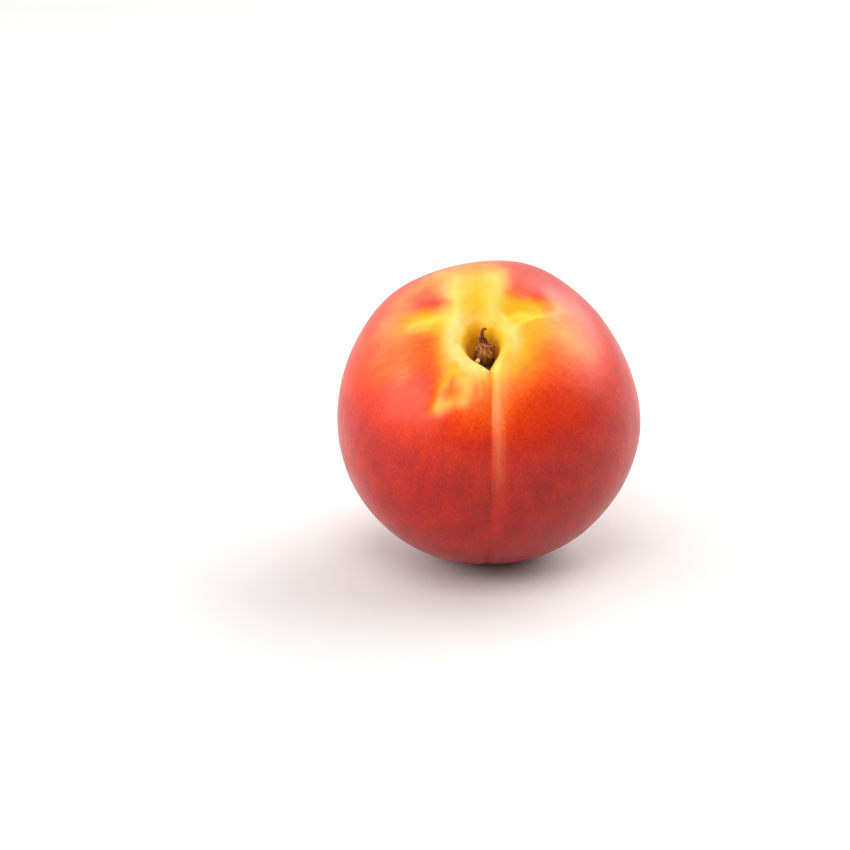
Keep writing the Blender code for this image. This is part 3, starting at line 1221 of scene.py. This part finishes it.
@dataclass
class StemStub:
    """The dried stub of the stalk: a crumpled head on a narrower foot, with loose fibres.

    Attributes:
        cad_node: The CAD node it stands for.
        finish: Its finish.
        foot: Middle of its foot about the fruit's stem axis, millimetres.
        length: Height of its highest fibre, millimetres.
        columns: Columns of faces round its body.
        rings: Rings of faces up its body.
        profile: Radius of its body at each height.
        sway: Where the middle of its body is at each height, across and back.
        bark: The relief of its bark.
        fibres: The fibres that stand out up its sides.
        strands: The fibres that have come loose.
    """

    cad_node: str = "stem_stub"
    finish: DriedStalk = field(default_factory=DriedStalk)
    foot: tuple[float, float, float] = (-1.48, -1.05, 25.3)
    length: float = 6.2
    columns: int = 180
    rings: int = 150
    profile: tuple[tuple[float, float], ...] = (
        (0.0, 1.65), (1.0, 1.75), (2.2, 1.98), (3.0, 2.05), (3.7, 1.75),
        (4.2, 1.35), (4.7, 0.95), (5.2, 0.55), (5.5, 0.00),
    )
    sway: tuple[tuple[float, float, float], ...] = (
        (0.0, 0.0, 0.0), (3.2, 0.30, 0.75), (5.5, -0.30, 2.30),
    )
    bark: CrumpledBark = field(default_factory=CrumpledBark)
    fibres: SideFibres = field(default_factory=SideFibres)
    strands: tuple[Strand, ...] = (
        # the thin end, standing up behind and hooked over
        Strand(
            ((-0.20, 1.9, 3.5), (-0.25, 2.9, 4.4), (-0.30, 3.6, 5.15),
             (-0.15, 4.1, 5.75), (0.30, 4.3, 5.95), (0.70, 4.25, 5.80)),
            0.48, 0.24,
        ),
        # a long fibre curled over the head from left to right
        Strand(
            ((-0.90, 2.55, 4.1), (-0.60, 1.55, 4.5), (0.50, 0.85, 4.5),
             (1.40, 0.80, 4.25), (2.15, 1.20, 3.8), (2.55, 0.95, 3.0)),
            0.22, 0.28,
        ),
        # a ring of bark left round a hole
        Strand(
            ((-0.30, 1.90, 4.50), (0.20, 2.35, 4.50), (0.85, 2.15, 4.50),
             (1.10, 1.50, 4.50), (0.70, 1.00, 4.40)),
            0.22, 0.18,
        ),
        # fibres bent over the front, the right and the left
        Strand(((0.1, -0.7, 3.6), (1.1, -0.9, 3.4), (2.0, -0.3, 3.2), (2.3, 0.6, 2.8)), 0.22, 0.20),
        Strand(((1.1, 2.7, 4.0), (1.7, 2.2, 3.8), (2.2, 1.8, 3.3)), 0.18, 0.16),
        Strand(((-1.6, 2.1, 3.3), (-1.6, 1.2, 3.6), (-1.4, 0.3, 3.3), (-1.4, -0.4, 2.4)), 0.2, 0.24),
        Strand(((-0.6, 1.3, 4.3), (-0.6, 0.6, 4.1), (-0.7, -0.3, 3.5), (-0.6, -1.0, 2.4)), 0.2, 0.26),
        # a pale bead low at the left of the front, whose near-white is a painted glint
        Strand(((-1.5, -1.40, 2.8), (-1.2, -1.65, 2.6), (-0.85, -1.7, 2.4)), 0.62, 0.52, pith=1.0),
    )

    def build(self, fruit: Fruit) -> bpy.types.Object:
        """Build and dress the stub, seated in the fruit's cavity.

        Args:
            fruit: The fruit it stands in.

        Returns:
            The piece.
        """
        shell = bmesh.new()
        bmesh.ops.create_uvsphere(
            shell, u_segments=self.columns, v_segments=self.rings, radius=1.0
        )
        height = shell.verts.layers.float.new(Mark.HEIGHT.value)
        # how deep each point lies in a fold or crease, which sets its painted shade
        fold = shell.verts.layers.float.new(Mark.FOLD_SHADE.value)
        shell.verts.layers.float.new(Mark.PAINTED_GLINT.value)
        meridian = shell.verts.layers.float_vector.new(Mark.MERIDIAN.value)
        top = self.profile[-1][0]
        for point in shell.verts:
            azimuth = math.atan2(point.co.y, point.co.x)
            at_pole = abs(point.co.z) > 1.0 - POLE_SNAP
            climb = top * self.climb(polar_of(point.co))
            point.co, point[fold] = self.bark_point(climb, azimuth, at_pole)
            point[height] = climb / self.length
            around = self.bark.grain_around
            along = self.bark.grain_along * climb
            point[meridian] = Vector((around * math.cos(azimuth), around * math.sin(azimuth), along))
        for strand in self.strands + self.side_fibres():
            strand.grow(shell, self.length)
        placing = fruit.placing @ Matrix.Translation(Vector(self.foot))
        bmesh.ops.transform(shell, matrix=placing, verts=shell.verts[:])
        bmesh.ops.recalc_face_normals(shell, faces=shell.faces[:])
        piece = piece_from(shell, "dried_stub", self.finish.build())
        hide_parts(self.cad_node)
        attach(piece, BODY)
        return piece

    @staticmethod
    def climb(polar: float) -> float:
        """Share of the body's height at an angle of the ball it is drawn from."""
        share = 1.0 - polar / math.pi
        return (share + ease(0.0, 1.0, share)) / 2.0

    def radius(self, height: float) -> float:
        """Radius of the body at a height, read off its profile."""
        for (low, low_radius), (high, high_radius) in zip(self.profile, self.profile[1:]):
            if height <= high:
                return low_radius + (high_radius - low_radius) * (height - low) / (high - low)
        return self.profile[-1][1]

    def middle(self, height: float) -> Vector:
        """Middle of the body at a height."""
        for (low, low_x, low_y), (high, high_x, high_y) in zip(self.sway, self.sway[1:]):
            if height <= high:
                share = ease(low, high, height)
                x = low_x + (high_x - low_x) * share
                return Vector((x, low_y + (high_y - low_y) * share, height))
        return Vector((self.sway[-1][1], self.sway[-1][2], height))

    def bark_point(self, height: float, azimuth: float, at_pole: bool) -> tuple[Vector, float]:
        """A point of the bark about the stub's foot.

        Args:
            height: Height along the stub, millimetres.
            azimuth: Azimuth round the stub, radians.
            at_pole: Whether the point closes an end.

        Returns:
            The point, in millimetres, and how deep in a fold it lies, which sets the painted shade
            there.
        """
        around = Vector((math.cos(azimuth), math.sin(azimuth), 0.0))
        if at_pole:
            return self.middle(height), 0.0
        bark = self.bark
        up = Vector((0.0, 0.0, 1.0))
        sway = noise.noise(around * bark.sway_pace + up * height * bark.sway_climb) * bark.sway
        rise = up * (height * bark.fold_climb + bark.fold_start)
        lengthwise = noise.noise(around * bark.fold_pace + rise + around * sway)
        fold = 1.0 - min(1.0, abs(lengthwise) / bark.fold_width)
        head = ease(bark.head_from, bark.head_to, height)
        rise = up * height * bark.crumple_climb
        crumple = noise.noise(around * bark.crumple_pace + rise + Vector(bark.crumple_start))
        crease = (1.0 - min(1.0, abs(crumple) / bark.crease_width)) * head
        folded = bark.fold_depth * fold**bark.fold_sharpness
        radius = self.radius(height) * (1.0 + bark.swell - folded)
        radius += bark.crumple_depth * (crumple * head - bark.crease_share * crease)
        place = self.middle(height) + around * max(bark.least_radius, radius)
        place.z += bark.crumple_lift * crumple * head
        return place, max(fold, crease)

    def side_fibres(self) -> tuple[Strand, ...]:
        """Fibres up the sides of the body. Sines vary them, so every run draws the same ones."""
        fibres = self.fibres
        made = []
        for number in range(fibres.count):
            start = 2.0 * math.pi * number / fibres.count + fibres.turn_play * math.sin(5.0 * number)
            low = fibres.foot + fibres.foot_play * abs(math.sin(3.0 * number))
            high = fibres.top + fibres.top_play * abs(math.sin(2.0 * number + 1.0))
            points = []
            for step in range(fibres.points):
                height = low + (high - low) * step / (fibres.points - 1.0)
                azimuth = start + fibres.wave * math.sin(1.3 * number + 1.1 * step)
                place, _ = self.bark_point(height, azimuth, False)
                points.append(tuple(place))
            made.append(Strand(tuple(points), fibres.start_radius, fibres.end_radius))
        return tuple(made)


# ---------------------------------------------------------------- the studio


@dataclass(frozen=True)
class StudioLight:
    """A soft light aimed at the fruit.

    Attributes:
        name: What the light does.
        direction: From the fruit toward the light.
        distance: How far away it stands, metres.
        width: Its width, metres.
        height: Its height, metres.
        power: Its power, watts.
    """

    name: str
    direction: Vector
    distance: float
    width: float
    height: float
    power: float


@dataclass
class Studio:
    """A plain pale floor, soft light all round and the camera."""

    floor_color: str = "DEDDDB"
    floor_roughness: float = 0.85
    floor_size: float = 12.0
    front_glow: float = 0.10
    back_glow: float = 0.82
    seen_glow: float = 0.95
    lights: tuple[StudioLight, ...] = (
        StudioLight("left softbox", Vector((-0.86, -0.40, 0.42)), 0.75, 0.70, 0.46, 3.5),
        StudioLight("left back softbox", Vector((-0.66, 0.50, 0.52)), 0.80, 0.50, 0.50, 1.1),
        StudioLight("right softbox", Vector((0.72, 0.40, 0.58)), 0.80, 1.05, 0.60, 6.0),
        StudioLight("overhead", Vector((-0.08, -0.58, 1.0)), 0.90, 0.50, 0.50, 2.2),
    )
    elevation: float = math.radians(22.0)
    distance: float = 0.60
    fruit_share: float = 0.3565
    aside_share: float = 0.0735
    above_share: float = 0.0141
    sensor: float = 36.0

    def build(self, fruit: Fruit) -> None:
        """Set up the whole studio round the fruit."""
        centre = fruit.placing @ Vector((0.0, 0.0, 0.0))
        radius = fruit.form.half_width * fruit.placing.to_scale().x
        self.add_floor()
        self.add_surroundings()
        for light in self.lights:
            self.add_light(light, centre)
        self.add_camera(centre, radius)
        scene = bpy.context.scene
        scene.view_settings.view_transform = "Standard"
        scene.view_settings.look = "Medium High Contrast"

    def add_floor(self) -> None:
        """Lay the floor."""
        sheet = bmesh.new()
        bmesh.ops.create_grid(sheet, x_segments=1, y_segments=1, size=self.floor_size / 2.0)
        material, board = fresh_material("matt white studio paper")
        shader = board.add(
            "BsdfPrincipled",
            {"Base Color": linear(self.floor_color), "Roughness": self.floor_roughness},
        )
        board.add("OutputMaterial", {}, {"Surface": shader})
        floor = piece_from(sheet, "studio_floor", material)

    def add_surroundings(self) -> None:
        """Light the scene from all round, paler behind the fruit than before it."""
        world = bpy.data.worlds.new("studio walls")
        bpy.context.scene.world = world
        world.use_nodes = True
        world.node_tree.nodes.clear()
        board = NodeBoard(world.node_tree)
        way = board.add("TexCoord")
        parts = board.add("SeparateXYZ", {}, {"Vector": way.outputs["Generated"]})
        depth = board.add(
            "MapRange",
            {
                "interpolation_type": "SMOOTHSTEP",
                "From Min": -0.5,
                "From Max": 0.5,
                "To Min": self.front_glow,
                "To Max": self.back_glow,
            },
            {"Value": parts.outputs["Y"]},
        )
        seen = board.add("LightPath")
        strength = board.add(
            "Mix",
            {"data_type": "FLOAT", "B": self.seen_glow},
            {"Factor": seen.outputs["Is Camera Ray"], "A": depth},
        )
        glow = board.add("Background", {"Color": linear("FFFFFF")}, {"Strength": strength})
        board.add("OutputWorld", {}, {"Surface": glow})

    @staticmethod
    def add_light(light: StudioLight, centre: Vector) -> None:
        """Hang one light and aim it at the fruit."""
        lamp = bpy.data.lights.new(light.name, "AREA")
        lamp.shape = "RECTANGLE"
        lamp.size = light.width
        lamp.size_y = light.height
        lamp.energy = light.power
        holder = bpy.data.objects.new(light.name, lamp)
        bpy.context.scene.collection.objects.link(holder)
        way = light.direction.normalized()
        holder.location = centre + way * light.distance
        holder.rotation_euler = (-way).to_track_quat("-Z", "Y").to_euler()

    def add_camera(self, centre: Vector, radius: float) -> None:
        """Stand the camera so that the fruit has its size and place in the frame.

        Args:
            centre: Middle of the fruit.
            radius: Half of the fruit's width, metres.
        """
        back = Vector((0.0, -math.cos(self.elevation), math.sin(self.elevation)))
        up = Vector((0.0, math.sin(self.elevation), math.cos(self.elevation)))
        seen_radius = radius / math.sqrt(self.distance**2 - radius**2)
        frame_width = self.distance * 2.0 * seen_radius / self.fruit_share
        aim = centre - Vector((self.aside_share * frame_width, 0.0, 0.0))
        aim -= up * self.above_share * frame_width
        camera = bpy.data.cameras.new("camera")
        camera.sensor_width = self.sensor
        camera.lens = self.sensor * self.fruit_share / (2.0 * seen_radius)
        holder = bpy.data.objects.new("camera", camera)
        bpy.context.scene.collection.objects.link(holder)
        holder.location = aim + back * self.distance
        holder.rotation_euler = (-back).to_track_quat("-Z", "Y").to_euler()
        bpy.context.scene.camera = holder


# ---------------------------------------------------------------- the whole


def report(piece: bpy.types.Object) -> None:
    """Log a piece's name and how many faces it has."""
    log.info("%s: %d faces", piece.name, len(piece.data.polygons))


def main() -> None:
    """Build the fruit, the stub and the studio."""
    logging.basicConfig(level=logging.INFO, format="%(name)s: %(message)s")
    fruit = Fruit()
    report(fruit.build())
    report(StemStub().build(fruit))
    Studio().build(fruit)


if __name__ == "__main__":
    main()
